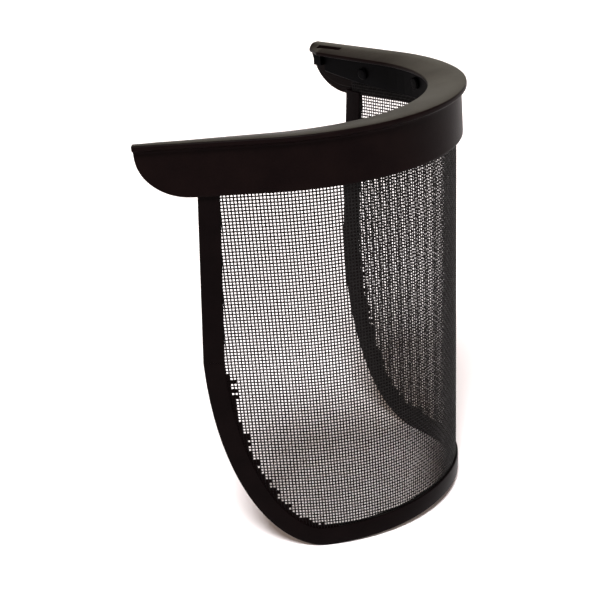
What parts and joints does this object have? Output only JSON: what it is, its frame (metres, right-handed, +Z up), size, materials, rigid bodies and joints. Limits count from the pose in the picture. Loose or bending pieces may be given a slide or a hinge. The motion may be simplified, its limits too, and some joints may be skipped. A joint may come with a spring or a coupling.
{
  "type": "mesh face shield",
  "caption": "Face shield with a black moulded brow guard, a curved woven-wire screen and a moulded edge trim, worn on a helmet.",
  "frame": {"origin": "on top of the brow guard's rim, at the front centre, level with the outer wall's face", "axes": "+Z up, -Y out of the front of the shield, +X to the wearer's left"},
  "size_m": [0.2348, 0.1367, 0.2487],
  "materials": {
    "guard": "satin black moulded plastic",
    "screen": "black coated woven wire",
    "trim": "satin black moulded trim",
    "band": "matt black plastic",
    "pin": "black plastic",
    "clip": "matt black plastic"
  },
  "bodies": {
    "root": {"brow_guard": "guard", "retaining_band": "band", "mesh_screen": "screen", "edge_trim": "trim", "end_clip_left": "clip", "end_clip_right": "clip", "push_pin_1": "pin", "push_pin_2": "pin", "push_pin_3": "pin", "push_pin_4": "pin", "push_pin_5": "pin", "push_pin_6": "pin", "push_pin_7": "pin"}
  },
  "joints": []
}
